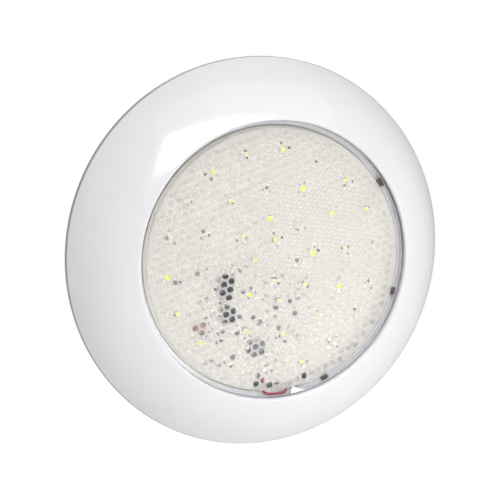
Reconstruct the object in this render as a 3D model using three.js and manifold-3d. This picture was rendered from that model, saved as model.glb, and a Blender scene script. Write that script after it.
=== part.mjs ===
// Underwater pool light for a flat wall: a two-part bracket, a twist-on lamp with a clear lens over
// an LED board, a domed surround, a cable gland and a lock screw.
//
// Every piece is drawn as seen from the front: X right, Y up, Z out of the wall, wall at Z = 0.
// The group at the end turns the drawing so that the front faces -Y and up is +Z. Millimetres.

import * as THREE from 'three';
import { mergeVertices } from 'three/addons/utils/BufferGeometryUtils.js';
import Module from 'manifold-3d';

const wasm = await Module();
wasm.setup();

// Driving dimensions.
const GAP = 0.3;                     // between pieces that touch on the real lamp
const ROUND_STEPS = 48;              // facets of the large turned pieces
const SMALL_STEPS = 12;              // facets of screws and small bosses
const GLAND_STEPS = 18;              // facets of the gland's round pieces

const SURROUND_RADIUS = 145;
const SURROUND_BACK = 1.5;           // the rim stands just clear of the wall
const RIM_HEIGHT = 4;
const SHELL_THICKNESS = 2.5;
const SHELL_TOP_RADIUS = 101.8;      // where the shell meets the rounded lip
const SHELL_TOP = 41.8;
const SHELL_TURN = 36;               // degrees that the shell's arc turns from rim to lip
const LIP_RADIUS = 1.5;
const LIP_BOTTOM = 38.9;

const BRACKET_HOLE_RADIUS = 27;
const BRACKET_RADIUS = 88;
const BRACKET_PLATE = 3;
const BRACKET_WALL = 3;
const BRACKET_WALL_TOP = 9;
const SCREW_SLOT_RADIUS = 55;
const SCREW_SLOT_WIDTH = 5.5;
const SCREW_SLOT_LENGTH = 14;
const SCREW_PAD_HEIGHT = 0.8;
const SCREW_PAD_MARGIN = 3.75;       // all round the slot

const BAYONET_ANGLES = [90, 210, 330];
const NOSE_INNER_RADIUS = 74;
const NOSE_BACK = 7.1;
const NOSE_HALF_ANGLE = 10;
const LUG_RING_RADIUS = 73;
const LUG_RING_THICKNESS = 3;
const LUG_RADIUS = 79;
const LUG_BACK = 4;
const LUG_FRONT = 6.7;
const LUG_HALF_ANGLE = 9;

const HOUSING_BACK = 12;
const HOUSING_WALL = 3;
const COVER_FRONT = HOUSING_BACK + HOUSING_WALL;
const HOUSING_RADIUS = 102;
const FLANGE_RADIUS = 112.4;
const FLANGE_BACK = 25.5;
const FLANGE_FRONT = 29.7;
const GROOVE_INNER = 103.1;
const GROOVE_OUTER = 106.3;
const GROOVE_FLOOR = 28;
const SHELF_INNER = 90;
const SHELF_BACK = 25.6;

const BOARD_RADIUS = 96;
const BOARD_BACK = 28.4;
const BOARD_FRONT = 30;
const NOTCH_LEFT = -12;
const NOTCH_RIGHT = 15;
const NOTCH_TOP = -90;

const LENS_BACK = 35.3;
const LENS_FRONT = 38.5;
const LENS_SKIRT_INNER = 99.6;
const LENS_SKIRT_OUTER = 101.6;
const LENS_FLANGE_RADIUS = 107.5;
const LENS_FLANGE_BACK = 30;
const LENS_FLANGE_FRONT = 32.5;

const CLAMP_INNER = 103;
const CLAMP_OUTER = 112;
const CLAMP_BACK = LENS_FLANGE_FRONT + GAP;
const CLAMP_FRONT = 33.8;
const CLAMP_SCREW_RADIUS = 110;
const CLAMP_SCREW_COUNT = 6;

const EAR_RADIUS = 126;
const EAR_HALF_WIDTH = 7;
const EAR_ANGLES = [45, 135, 225, 315];

const LED_SIZE = 3.5;
const LED_HEIGHT = 0.8;
const TRACK_WIDTH = 1.2;
const TRACK_HEIGHT = 0.2;
const CLIP_ANGLES = [36, -13.7, -63.4];
const CLIP_HALF_ANGLE = 1.6;
const CLIP_INNER_RADIUS = 96.8;
const CLIP_FRONT = 32.6;

const GLAND_HOLE_RADIUS = 8.2;
const GLAND_THREAD_RADIUS = 7.8;
const GLAND_BORE_RADIUS = 4;
const GLAND_INNER_END = 19.5;
const GLAND_HEX_RADIUS = 11.5;

const LOCK_SCREW_LEVEL = 3.6;
const LOCK_SCREW_TIP = BRACKET_RADIUS + 0.4;
const LOCK_BOSS_INNER = 90;
const LOCK_BOSS_HALF_WIDTH = 6;
const LOCK_BOSS_BACK = 0.9;

// Colours and finishes.
const WHITE_ABS = { color: 0xf3f4f6, roughness: 0.25, metalness: 0 };
const WARM_WHITE_MASK = { color: 0xe9e5da, roughness: 0.55, metalness: 0 };
const CLEAR_PLASTIC = { color: 0xe6ecee, roughness: 0.08, metalness: 0, transparent: true, opacity: 0.4 };
const PHOSPHOR = { color: 0xf2f59a, roughness: 0.45, metalness: 0 };
const BLACK_MOULDING = { color: 0x24242a, roughness: 0.5, metalness: 0 };
const GREY_FERRITE = { color: 0x6f7684, roughness: 0.5, metalness: 0 };
const BROWN_MOULDING = { color: 0x6b4a45, roughness: 0.5, metalness: 0 };
const WHITE_SILICONE = { color: 0xe6e6e4, roughness: 0.6, metalness: 0 };
const BLACK_RUBBER = { color: 0x1a1a1c, roughness: 0.85, metalness: 0 };
const STEEL = { color: 0xb9bcc0, roughness: 0.3, metalness: 1 };
const BLACK_NYLON = { color: 0x2a2b2e, roughness: 0.45, metalness: 0 };
const RED_SHEATH = { color: 0xb3283c, roughness: 0.45, metalness: 0 };
const GREEN_SHEATH = { color: 0x2f8f6a, roughness: 0.45, metalness: 0 };
const BLACK_SHEATH = { color: 0x1c1c1f, roughness: 0.45, metalness: 0 };

// ---------------------------------------------------------------------------------------------
// Shapes.

const radians = THREE.MathUtils.degToRad;

function polar(radius, degrees) {
  return [radius * Math.cos(radians(degrees)), radius * Math.sin(radians(degrees))];
}

// Points along the arc from one point to another that turns left by the given angle.
function arcPoints(from, to, turnDegrees, steps) {
  const half = radians(turnDegrees) / 2;
  const chord = [to[0] - from[0], to[1] - from[1]];
  const toCentre = 1 / (2 * Math.tan(half));
  const centre = [
    from[0] + chord[0] / 2 - chord[1] * toCentre,
    from[1] + chord[1] / 2 + chord[0] * toCentre,
  ];
  const start = [from[0] - centre[0], from[1] - centre[1]];
  const points = [];
  for (let step = 0; step <= steps; step += 1) {
    const angle = 2 * half * step / steps;
    points.push([
      centre[0] + start[0] * Math.cos(angle) - start[1] * Math.sin(angle),
      centre[1] + start[0] * Math.sin(angle) + start[1] * Math.cos(angle),
    ]);
  }
  return points;
}

// A profile of [radius, height] points, anticlockwise, turned about Z. It closes on itself
// unless both its ends lie on the axis.
function turned(profile, steps = ROUND_STEPS) {
  const points = profile.map(([radius, height]) => new THREE.Vector2(radius, height));
  const last = points[points.length - 1];
  if (points[0].x > 0 || last.x > 0) {
    points.push(points[0].clone());
  }
  return new THREE.LatheGeometry(points, steps).rotateX(Math.PI / 2);
}

function tube(inner, outer, back, front, steps = ROUND_STEPS) {
  return turned([[inner, back], [outer, back], [outer, front], [inner, front]], steps);
}

function cylinder(radius, back, front, steps = SMALL_STEPS) {
  return turned([[0, back], [radius, back], [radius, front], [0, front]], steps);
}

function block(left, right, bottom, top, back, front) {
  const geometry = new THREE.BoxGeometry(right - left, top - bottom, front - back);
  return geometry.translate((left + right) / 2, (bottom + top) / 2, (back + front) / 2);
}

function plate(shape, back, front, curveSegments) {
  const options = { depth: front - back, bevelEnabled: false, curveSegments };
  return new THREE.ExtrudeGeometry(shape, options).translate(0, 0, back);
}

// A flat piece of a ring between two angles. An arc gets two facets for each curve segment.
function sector(inner, outer, fromDegrees, toDegrees, back, front) {
  const shape = new THREE.Shape();
  shape.absarc(0, 0, outer, radians(fromDegrees), radians(toDegrees), false);
  shape.absarc(0, 0, inner, radians(toDegrees), radians(fromDegrees), true);
  const curveSegments = Math.max(1, Math.ceil((toDegrees - fromDegrees) / 16));
  return plate(shape, back, front, curveSegments);
}

function hexagon(radius, back, front) {
  return cylinder(radius, back, front, 6);
}

// A slot with round ends along X, centred on the axis.
function slot(width, length, back, front) {
  const reach = (length - width) / 2;
  const shape = new THREE.Shape();
  shape.absarc(reach, 0, width / 2, -Math.PI / 2, Math.PI / 2, false);
  shape.absarc(-reach, 0, width / 2, Math.PI / 2, Math.PI * 1.5, false);
  return plate(shape, back, front, 4);
}

function placed(geometry, radius, degrees) {
  const [x, y] = polar(radius, degrees);
  return geometry.translate(x, y, 0);
}

// Solid of a closed geometry: only positions are kept, shared vertices are merged and the
// collapsed triangles that a turned profile has on its axis are dropped.
function solid(geometry) {
  const bare = geometry.clone();
  bare.deleteAttribute('normal');
  bare.deleteAttribute('uv');
  const merged = mergeVertices(bare, 1e-4);
  const corners = merged.index.array;
  const kept = [];
  for (let i = 0; i < corners.length; i += 3) {
    const [a, b, c] = [corners[i], corners[i + 1], corners[i + 2]];
    if (a !== b && b !== c && c !== a) {
      kept.push(a, b, c);
    }
  }
  return new wasm.Manifold(new wasm.Mesh({
    numProp: 3,
    vertProperties: new Float32Array(merged.attributes.position.array),
    triVerts: new Uint32Array(kept),
  }));
}

function join(...geometries) {
  return geometries.map(solid).reduce((sum, next) => sum.add(next));
}

function cut(body, ...tools) {
  return tools.map(solid).reduce((rest, tool) => rest.subtract(tool), body);
}

function toGeometry(body) {
  const mesh = body.getMesh();
  const geometry = new THREE.BufferGeometry();
  geometry.setAttribute('position', new THREE.BufferAttribute(mesh.vertProperties, 3));
  geometry.setIndex(new THREE.BufferAttribute(mesh.triVerts, 1));
  geometry.computeVertexNormals();
  return geometry;
}

const light = new THREE.Group();

function addPart(name, shape, finish) {
  const geometry = shape.isBufferGeometry ? toGeometry(solid(shape)) : toGeometry(shape);
  const mesh = new THREE.Mesh(geometry, new THREE.MeshStandardMaterial(finish));
  mesh.name = name;
  light.add(mesh);
}

// ---------------------------------------------------------------------------------------------
// Wall bracket: a ring plate with four screw slots on raised pads, and a collar on its rim with
// three bayonet noses and their stops.

function wallBracket() {
  let body = solid(tube(BRACKET_HOLE_RADIUS, BRACKET_RADIUS, 0, BRACKET_PLATE));
  for (let quarter = 0; quarter < 4; quarter += 1) {
    const turn = quarter * Math.PI / 2;
    const pad = slot(SCREW_SLOT_WIDTH + 2 * SCREW_PAD_MARGIN, SCREW_SLOT_LENGTH + 2 * SCREW_PAD_MARGIN,
      BRACKET_PLATE / 2, BRACKET_PLATE + SCREW_PAD_HEIGHT);
    const opening = slot(SCREW_SLOT_WIDTH, SCREW_SLOT_LENGTH, -1, BRACKET_PLATE + 2);
    body = body.add(solid(pad.translate(0, SCREW_SLOT_RADIUS, 0).rotateZ(turn)));
    body = cut(body, opening.translate(0, SCREW_SLOT_RADIUS, 0).rotateZ(turn));
  }
  return body;
}

function bayonetNose(angle) {
  const outer = BRACKET_RADIUS - BRACKET_WALL / 2;
  const nose = sector(NOSE_INNER_RADIUS, outer, angle - NOSE_HALF_ANGLE, angle + NOSE_HALF_ANGLE,
    NOSE_BACK, BRACKET_WALL_TOP);
  const stopEdge = angle - LUG_HALF_ANGLE - 0.4;
  const stop = sector(NOSE_INNER_RADIUS, outer, stopEdge - 3.5, stopEdge,
    BRACKET_PLATE + GAP, BRACKET_WALL_TOP);
  return join(nose, stop);
}

function bracketCollar() {
  const wall = tube(BRACKET_RADIUS - BRACKET_WALL, BRACKET_RADIUS, BRACKET_PLATE + GAP, BRACKET_WALL_TOP);
  return BAYONET_ANGLES.map(bayonetNose).reduce((sum, nose) => sum.add(nose), solid(wall));
}

// ---------------------------------------------------------------------------------------------
// Housing behind the lens: a flat cover at the back with the surround's ears and the lock boss, a
// ring in front of it that holds the board, the seal and the lens, and the bayonet's twist ring.

function surroundEar(angle) {
  const shape = new THREE.Shape();
  shape.moveTo(HOUSING_RADIUS - 2, EAR_HALF_WIDTH);
  shape.lineTo(HOUSING_RADIUS - 2, -EAR_HALF_WIDTH);
  shape.absarc(EAR_RADIUS, 0, EAR_HALF_WIDTH, -Math.PI / 2, Math.PI / 2, false);
  const hole = new THREE.Path();
  hole.absarc(EAR_RADIUS, 0, 2, 0, Math.PI * 2, true);
  shape.holes.push(hole);
  return plate(shape, HOUSING_BACK, COVER_FRONT, 6).rotateZ(radians(angle));
}

function rearCover() {
  const lockBoss = block(-LOCK_BOSS_HALF_WIDTH, LOCK_BOSS_HALF_WIDTH,
    -HOUSING_RADIUS, -LOCK_BOSS_INNER, LOCK_BOSS_BACK, HOUSING_BACK + 1);
  const lockHole = cylinder(1.8, LOCK_BOSS_INNER - 1, HOUSING_RADIUS + 1, 12)
    .rotateX(Math.PI / 2)
    .translate(0, 0, LOCK_SCREW_LEVEL);
  const body = join(
    cylinder(HOUSING_RADIUS, HOUSING_BACK, COVER_FRONT, ROUND_STEPS),
    ...EAR_ANGLES.map(surroundEar),
    lockBoss,
  );
  const glandHole = cylinder(GLAND_HOLE_RADIUS, HOUSING_BACK - 1, COVER_FRONT + 1, GLAND_STEPS);
  return cut(body, glandHole, lockHole);
}

function housingRing() {
  const inner = HOUSING_RADIUS - HOUSING_WALL;
  const back = COVER_FRONT + GAP;
  const ring = turned([
    [inner, back],
    [HOUSING_RADIUS, back],
    [HOUSING_RADIUS, FLANGE_BACK],
    [FLANGE_RADIUS, FLANGE_BACK],
    [FLANGE_RADIUS, FLANGE_FRONT],
    [GROOVE_OUTER, FLANGE_FRONT],
    [GROOVE_OUTER, GROOVE_FLOOR],
    [GROOVE_INNER, GROOVE_FLOOR],
    [GROOVE_INNER, FLANGE_FRONT],
    [BOARD_RADIUS + 0.6, FLANGE_FRONT],
    [BOARD_RADIUS + 0.6, BOARD_BACK - GAP],
    [SHELF_INNER, BOARD_BACK - GAP],
    [SHELF_INNER, SHELF_BACK],
    [inner, SHELF_BACK],
  ]);
  const bosses = clampScrewAngles().map((angle) => placed(
    cylinder(2.2, FLANGE_BACK + 1, LENS_FLANGE_FRONT), CLAMP_SCREW_RADIUS, angle));
  const holes = clampScrewAngles().map((angle) => placed(
    cylinder(1.6, FLANGE_BACK + 0.8, LENS_FLANGE_FRONT + 1), CLAMP_SCREW_RADIUS, angle));
  const leadNotch = block(NOTCH_LEFT, NOTCH_RIGHT, -BOARD_RADIUS + 0.4, -SHELF_INNER + 2,
    SHELF_BACK - 1, BOARD_BACK);
  return cut(join(ring, ...bosses), leadNotch, ...holes);
}

function twistRing() {
  const inner = LUG_RING_RADIUS - LUG_RING_THICKNESS;
  const lugs = BAYONET_ANGLES.map((angle) => sector(inner + 1, LUG_RADIUS,
    angle - LUG_HALF_ANGLE, angle + LUG_HALF_ANGLE, LUG_BACK, LUG_FRONT));
  return join(tube(inner, LUG_RING_RADIUS, LUG_BACK, HOUSING_BACK - GAP), ...lugs);
}

// ---------------------------------------------------------------------------------------------
// LED board, its LED strings and the driver parts on its front.

function ledBoard() {
  const notch = block(NOTCH_LEFT, NOTCH_RIGHT, -BOARD_RADIUS - 1, NOTCH_TOP,
    BOARD_BACK - 1, BOARD_FRONT + 1);
  return cut(solid(cylinder(BOARD_RADIUS, BOARD_BACK, BOARD_FRONT, ROUND_STEPS)), notch);
}

// A string of LEDs at even angles, joined by the copper track beneath them. The track is open
// between the last LED and the first.
function ledString(radius, count, firstAngle) {
  const pitch = 360 / count;
  const back = BOARD_FRONT + GAP;
  const track = sector(radius - TRACK_WIDTH / 2, radius + TRACK_WIDTH / 2,
    firstAngle, firstAngle + pitch * (count - 1), back, back + TRACK_HEIGHT);
  const half = LED_SIZE / 2;
  const packages = [];
  for (let index = 0; index < count; index += 1) {
    packages.push(block(radius - half, radius + half, -half, half, back, back + LED_HEIGHT)
      .rotateZ(radians(firstAngle + pitch * index)));
  }
  return join(track, ...packages);
}

// A moulded driver part with a row of legs along its two long sides.
function chip(width, length, height, legs) {
  const back = BOARD_FRONT + GAP;
  const bodyBack = back + 0.5;
  const pieces = [block(-width / 2, width / 2, -length / 2, length / 2, bodyBack, back + height)];
  for (let leg = 0; leg < legs; leg += 1) {
    const y = length * ((leg + 0.5) / legs - 0.5);
    pieces.push(block(-width / 2 - 1.2, width / 2 + 1.2, y - 0.5, y + 0.5, back, bodyBack + 0.2));
  }
  return toGeometry(join(...pieces));
}

function powerInductor() {
  const back = BOARD_FRONT + GAP;
  return toGeometry(join(
    block(-6, 6, -5.5, 5.5, back, back + 1.2),
    cylinder(4.6, back, back + 1.7, 20),
  ));
}

function filmCapacitor() {
  const back = BOARD_FRONT + GAP;
  return toGeometry(join(
    block(-4.5, 4.5, -3, 3, back + 0.4, back + 1.7),
    block(-5.6, 5.6, -0.6, 0.6, back, back + 0.8),
  ));
}

function senseResistor() {
  const back = BOARD_FRONT + GAP;
  return block(-2.6, 2.6, -1.5, 1.5, back, back + 0.8);
}

// A post in the clear band round the board, with a short tongue over the board's edge.
function boardClip(angle) {
  const outer = LENS_SKIRT_INNER - GAP;
  const post = sector(CLIP_INNER_RADIUS, outer, angle - CLIP_HALF_ANGLE, angle + CLIP_HALF_ANGLE,
    FLANGE_FRONT + GAP, CLIP_FRONT);
  const tongue = sector(BOARD_RADIUS - 0.6, CLIP_INNER_RADIUS + 0.5, angle - CLIP_HALF_ANGLE / 2,
    angle + CLIP_HALF_ANGLE / 2, BOARD_FRONT + GAP, BOARD_FRONT + 1.1);
  return join(post, tongue);
}

// An insulated lead along a smooth curve.
function lead(points) {
  const path = new THREE.CatmullRomCurve3(points.map((point) => new THREE.Vector3(...point)));
  const section = new THREE.Shape();
  section.absarc(0, 0, 0.9, 0, Math.PI * 2, false);
  return new THREE.ExtrudeGeometry(section, {
    steps: 30, bevelEnabled: false, curveSegments: 3, extrudePath: path,
  });
}

// A lead leaves the gland, crosses the housing, climbs through the board's notch and turns
// back over the board's edge to its solder pad.
function leadRoute(startX, notchX, overTheEdge) {
  const level = GLAND_INNER_END + 3.2;
  return [
    [startX, 0, GLAND_INNER_END + 0.6],
    [startX, -5, level],
    [startX, -25, level],
    [(startX + notchX) / 2, -60, level],
    [notchX, -88, level],
    [notchX, -92.6, BOARD_BACK],
    ...overTheEdge,
  ];
}

// ---------------------------------------------------------------------------------------------
// Lens, its seal, clamp ring and screws.

function lens() {
  return turned([
    [0, LENS_BACK],
    [LENS_SKIRT_INNER, LENS_BACK],
    [LENS_SKIRT_INNER, LENS_FLANGE_BACK],
    [LENS_FLANGE_RADIUS, LENS_FLANGE_BACK],
    [LENS_FLANGE_RADIUS, LENS_FLANGE_FRONT],
    [LENS_SKIRT_OUTER, LENS_FLANGE_FRONT],
    [LENS_SKIRT_OUTER, LENS_FRONT - 0.6],
    [LENS_SKIRT_OUTER - 0.6, LENS_FRONT],
    [0, LENS_FRONT],
  ]);
}

function lensSeal() {
  const [inner, outer] = [GROOVE_INNER + GAP, GROOVE_OUTER - GAP];
  const [back, front] = [GROOVE_FLOOR + GAP, LENS_FLANGE_BACK - GAP];
  const chamfer = 0.4;
  return turned([
    [inner + chamfer, back],
    [outer - chamfer, back],
    [outer, back + chamfer],
    [outer, front - chamfer],
    [outer - chamfer, front],
    [inner + chamfer, front],
    [inner, front - chamfer],
    [inner, back + chamfer],
  ]);
}

function clampScrewAngles() {
  const pitch = 360 / CLAMP_SCREW_COUNT;
  return Array.from({ length: CLAMP_SCREW_COUNT }, (_, index) => pitch * (index + 0.5));
}

function lensClampRing() {
  const countersinks = clampScrewAngles().map((angle) => placed(turned([
    [0, CLAMP_BACK - 1],
    [1.7, CLAMP_BACK - 1],
    [1.7, CLAMP_BACK + 0.1],
    [2.85, CLAMP_FRONT],
    [2.85, CLAMP_FRONT + 1],
    [0, CLAMP_FRONT + 1],
  ], SMALL_STEPS), CLAMP_SCREW_RADIUS, angle));
  return cut(solid(tube(CLAMP_INNER, CLAMP_OUTER, CLAMP_BACK, CLAMP_FRONT)), ...countersinks);
}

function crossRecess(reach, back, front) {
  return [
    block(-reach, reach, -0.35, 0.35, back, front),
    block(-0.35, 0.35, -reach, reach, back, front),
  ];
}

function clampScrew() {
  const body = solid(turned([
    [0, FLANGE_BACK + 1.2],
    [1.25, FLANGE_BACK + 1.2],
    [1.25, CLAMP_FRONT - 1.1],
    [2.4, CLAMP_FRONT],
    [0, CLAMP_FRONT],
  ], SMALL_STEPS));
  return toGeometry(cut(body, ...crossRecess(1.4, CLAMP_FRONT - 0.6, CLAMP_FRONT + 1)));
}

// ---------------------------------------------------------------------------------------------
// Surround: a thin domed shell with a rounded lip round the lens, four screw bosses behind it
// and a notch in its rim for the screwdriver that reaches the lock screw.

function shellArc(offset, steps) {
  const from = [SURROUND_RADIUS, SURROUND_BACK + RIM_HEIGHT];
  const to = [SHELL_TOP_RADIUS, SHELL_TOP];
  const chordAngle = Math.atan2(to[1] - from[1], from[0] - to[0]);
  const half = radians(SHELL_TURN) / 2;
  const inward = (slope) => [-offset * Math.sin(slope), -offset * Math.cos(slope)];
  const [rimShift, lipShift] = [inward(chordAngle + half), inward(chordAngle - half)];
  return arcPoints(
    [from[0] + rimShift[0], from[1] + rimShift[1]],
    [to[0] + lipShift[0], to[1] + lipShift[1]],
    SHELL_TURN,
    steps,
  );
}

// The lip turns on from the slope of the shell until it faces the axis.
function lipArc(steps) {
  const rise = SHELL_TOP - SURROUND_BACK - RIM_HEIGHT;
  const slope = Math.atan2(rise, SURROUND_RADIUS - SHELL_TOP_RADIUS) - radians(SHELL_TURN) / 2;
  const centre = [
    SHELL_TOP_RADIUS - LIP_RADIUS * Math.sin(slope),
    SHELL_TOP - LIP_RADIUS * Math.cos(slope),
  ];
  const points = [];
  for (let step = 1; step <= steps; step += 1) {
    const angle = Math.PI / 2 - slope + (Math.PI / 2 + slope) * step / steps;
    points.push([centre[0] + LIP_RADIUS * Math.cos(angle), centre[1] + LIP_RADIUS * Math.sin(angle)]);
  }
  return points;
}

function surroundShell() {
  const outer = shellArc(0, 7);
  const inner = shellArc(SHELL_THICKNESS, 5).reverse();
  const rimInner = inner[inner.length - 1][0];
  const lip = lipArc(3);
  const openingRadius = lip[lip.length - 1][0];
  return turned([
    [rimInner, SURROUND_BACK],
    [SURROUND_RADIUS, SURROUND_BACK],
    ...outer,
    ...lip,
    [openingRadius, LIP_BOTTOM],
    ...inner,
  ]);
}

function surroundBosses() {
  const envelope = solid(turned([
    [SHELL_TOP_RADIUS, SURROUND_BACK],
    ...shellArc(SHELL_THICKNESS / 2, 7),
  ]));
  return EAR_ANGLES.map((angle) => {
    const post = placed(cylinder(4, COVER_FRONT + GAP, SHELL_TOP), EAR_RADIUS, angle);
    return solid(post).intersect(envelope);
  });
}

function surround() {
  const pilotHoles = EAR_ANGLES.map((angle) => placed(
    cylinder(1.6, HOUSING_BACK, HOUSING_BACK + 10, 12), EAR_RADIUS, angle));
  const driverNotch = block(-3, 3, -SURROUND_RADIUS - 1, -SURROUND_RADIUS + 8,
    SURROUND_BACK - 1, SURROUND_BACK + RIM_HEIGHT - 0.1);
  const body = surroundBosses().reduce((sum, boss) => sum.add(boss), solid(surroundShell()));
  return cut(body, driverNotch, ...pilotHoles);
}

function surroundScrew() {
  const headFront = HOUSING_BACK - GAP;
  const headBack = headFront - 1.8;
  const body = solid(turned([
    [0, headBack],
    [2.2, headBack],
    [3, headBack + 0.7],
    [3, headFront],
    [1.3, headFront],
    [1.3, HOUSING_BACK + 9],
    [0, HOUSING_BACK + 9.8],
  ], SMALL_STEPS));
  return toGeometry(cut(body, ...crossRecess(1.6, headBack - 1, headBack + 0.9)));
}

// ---------------------------------------------------------------------------------------------
// Cable gland through the middle of the housing's back.

function glandRing(inner, outer, back, front) {
  return tube(inner, outer, back, front, GLAND_STEPS);
}

function glandBody() {
  const seatRadius = GLAND_BORE_RADIUS + 2.2;
  const tubeRadius = 8.3;
  const hexBack = 7.3;
  const hexFront = 10.2;
  const body = join(
    cylinder(GLAND_THREAD_RADIUS, hexBack, GLAND_INNER_END, GLAND_STEPS),
    cylinder(tubeRadius, 4.5, hexBack + 1, GLAND_STEPS),
    hexagon(GLAND_HEX_RADIUS, hexBack, hexFront),
  );
  return cut(
    body,
    cylinder(GLAND_BORE_RADIUS, 0, GLAND_INNER_END + 1, GLAND_STEPS),
    cylinder(seatRadius, 0, 9.8, GLAND_STEPS),
  );
}

function glandNut() {
  const body = hexagon(GLAND_HEX_RADIUS, 2.9, 7);
  return cut(
    solid(body),
    cylinder(GLAND_BORE_RADIUS + 0.2, 0, 8, GLAND_STEPS),
    cylinder(8.6, 4.1, 8, GLAND_STEPS),
  );
}

function glandLocknut() {
  const back = COVER_FRONT + GAP;
  const bore = cylinder(GLAND_THREAD_RADIUS + GAP, back - 1, back + 4, GLAND_STEPS);
  return cut(solid(hexagon(12, back, back + 3)), bore);
}

// ---------------------------------------------------------------------------------------------
// Lock screw: it points up at the bracket's wall from below, and its captive washer moves
// along with it. Both are drawn along Z and laid down by layRadially.

function layRadially(shape) {
  return toGeometry(shape).rotateX(Math.PI / 2).translate(0, 0, LOCK_SCREW_LEVEL);
}

function lockScrew() {
  const headStart = 106;
  const headEnd = 108.8;
  const body = solid(turned([
    [0, LOCK_SCREW_TIP],
    [1, LOCK_SCREW_TIP],
    [1.5, LOCK_SCREW_TIP + 0.8],
    [1.5, headStart],
    [2.3, headStart],
    [2.3, headEnd - 0.5],
    [1.8, headEnd],
    [0, headEnd],
  ], SMALL_STEPS));
  return layRadially(cut(body, ...crossRecess(1.2, headEnd - 1.1, headEnd + 1)));
}

function lockWasher() {
  return layRadially(solid(tube(1.8, 3, 104.6, 105.7, SMALL_STEPS)));
}

// ---------------------------------------------------------------------------------------------
// Assembly.

addPart('wall_bracket', wallBracket(), WHITE_ABS);
addPart('bracket_collar', bracketCollar(), WHITE_ABS);
addPart('twist_ring', twistRing(), WHITE_ABS);
addPart('rear_cover', rearCover(), WHITE_ABS);
addPart('housing_ring', housingRing(), WHITE_ABS);
addPart('led_board', ledBoard(), WARM_WHITE_MASK);
addPart('leds_outer_string', ledString(79, 18, 288.5), PHOSPHOR);
addPart('leds_middle_string', ledString(55, 12, 249.5), PHOSPHOR);
addPart('leds_inner_string', ledString(30, 8, 235), PHOSPHOR);
addPart('leds_centre_string', ledString(15, 4, 0), PHOSPHOR);
addPart('bridge_rectifier', chip(10, 17, 1.7, 2).translate(-35.5, -19.2, 0), BLACK_MOULDING);
addPart('driver_chip', chip(9, 10.5, 1.7, 4).translate(-33.2, -39.2, 0), BLACK_MOULDING);
addPart('power_inductor', powerInductor().translate(-10.4, -64, 0), GREY_FERRITE);
addPart('film_capacitor', filmCapacitor().translate(-53.5, -48.2, 0), BROWN_MOULDING);
addPart('sense_resistor', senseResistor().translate(-70.5, -15.5, 0), BLACK_MOULDING);

addPart('lead_green', lead(leadRoute(-2.4, -7.4, [
  [-7.6, -95, BOARD_FRONT + 1],
  [-7.4, -93.4, BOARD_FRONT + 2],
  [-7, -86, BOARD_FRONT + 1.4],
])), GREEN_SHEATH);
addPart('lead_red', lead(leadRoute(2.4, 12.6, [
  [13.8, -94.2, BOARD_FRONT + 0.9],
  [13.4, -96.6, BOARD_FRONT + 1.8],
  [9.6, -98, BOARD_FRONT + 1.5],
  [3, -98.3, BOARD_FRONT + 1.4],
  [-2.8, -96.8, BOARD_FRONT + 1.6],
  [-4.6, -92, BOARD_FRONT + 1.8],
  [-4.8, -86.5, BOARD_FRONT + 1.4],
])), RED_SHEATH);
addPart('lead_black', lead(leadRoute(0, 7, [
  [8.4, -93.4, BOARD_FRONT + 1.2],
  [13, -92.4, BOARD_FRONT + 2.8],
  [18, -93.4, BOARD_FRONT + 2.4],
  [23, -92.4, BOARD_FRONT + 1.8],
  [27, -89.4, BOARD_FRONT + 1.6],
  [28, -84.6, BOARD_FRONT + 1.4],
])), BLACK_SHEATH);

CLIP_ANGLES.forEach((angle, index) => {
  addPart(`board_clip_${index + 1}`, boardClip(angle), BROWN_MOULDING);
});

addPart('lens', lens(), CLEAR_PLASTIC);
addPart('lens_seal', lensSeal(), WHITE_SILICONE);
addPart('lens_clamp_ring', lensClampRing(), WHITE_ABS);
clampScrewAngles().forEach((angle, index) => {
  addPart(`clamp_screw_${index + 1}`, placed(clampScrew(), CLAMP_SCREW_RADIUS, angle), STEEL);
});

addPart('surround', surround(), WHITE_ABS);
EAR_ANGLES.forEach((angle, index) => {
  addPart(`surround_screw_${index + 1}`, placed(surroundScrew(), EAR_RADIUS, angle), STEEL);
});

addPart('gland_body', glandBody(), BLACK_NYLON);
addPart('gland_locknut', glandLocknut(), BLACK_NYLON);
addPart('gland_o_ring', glandRing(GLAND_HOLE_RADIUS + 0.4, 10.6, 10.5, HOUSING_BACK - GAP), BLACK_RUBBER);
addPart('gland_grommet', glandRing(GLAND_BORE_RADIUS + 0.1, 5.9, 5.7, 9.5), BLACK_RUBBER);
addPart('gland_washer', glandRing(GLAND_BORE_RADIUS + 0.2, 5.9, 4.4, 5.4), BLACK_NYLON);
addPart('gland_nut', glandNut(), BLACK_NYLON);
addPart('lock_screw', lockScrew(), STEEL);
addPart('lock_washer', lockWasher(), STEEL);

light.rotation.x = Math.PI / 2;

export default light;
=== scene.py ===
"""Looks for the underwater pool light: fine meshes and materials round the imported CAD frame."""

import math

import bmesh
import bpy
from mathutils import Matrix, Vector


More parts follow.
